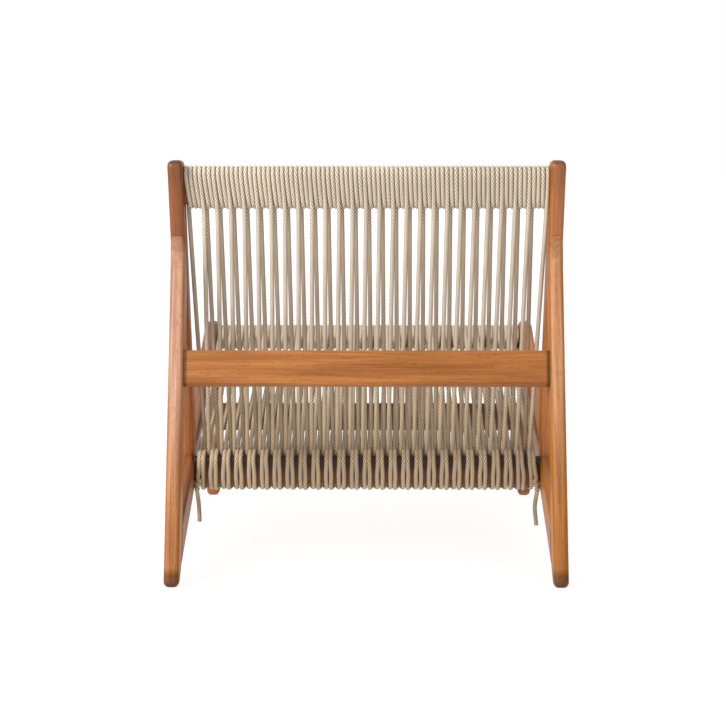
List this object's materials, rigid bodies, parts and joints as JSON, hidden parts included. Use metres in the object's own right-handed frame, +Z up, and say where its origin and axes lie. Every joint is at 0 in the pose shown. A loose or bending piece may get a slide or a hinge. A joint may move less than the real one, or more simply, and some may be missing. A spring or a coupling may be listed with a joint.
{
  "type": "outdoor lounge chair",
  "caption": "Low open-sided lounge chair: plank side frames with a triangle at the rear, cross rails, and a seat and back of rope wound and strung between the rails.",
  "frame": {"origin": "on the floor, under the middle of the chair's box", "axes": "+Z up, +Y towards the front of the seat, -X the sitter's left"},
  "size_m": [0.63, 0.85, 0.659],
  "materials": {
    "hardwood": "satin oiled reddish-brown tropical hardwood",
    "dowel_beech": "plain glued beech",
    "rope": "matt braided beige outdoor rope"
  },
  "bodies": {
    "root": {"left_rear_leg": "hardwood", "right_rear_leg": "hardwood", "left_back_post": "hardwood", "right_back_post": "hardwood", "left_seat_side_rail": "hardwood", "right_seat_side_rail": "hardwood", "left_front_leg": "hardwood", "right_front_leg": "hardwood", "top_back_rail": "hardwood", "mid_back_rail": "hardwood", "lower_rail": "hardwood", "front_seat_rail": "hardwood", "front_stretcher": "hardwood", "leg_post_dowels": "dowel_beech", "leg_rail_dowels": "dowel_beech", "post_rail_dowels": "dowel_beech", "front_leg_dowels": "dowel_beech", "top_rail_dowels": "dowel_beech", "mid_rail_dowels": "dowel_beech", "lower_rail_dowels": "dowel_beech", "front_rail_dowels": "dowel_beech", "stretcher_dowels": "dowel_beech", "back_rope": "rope", "seat_rope": "rope", "lower_rail_loops": "rope", "left_rope_knot": "rope", "right_rope_knot": "rope", "left_rope_tail": "rope", "right_rope_tail": "rope"}
  },
  "joints": []
}
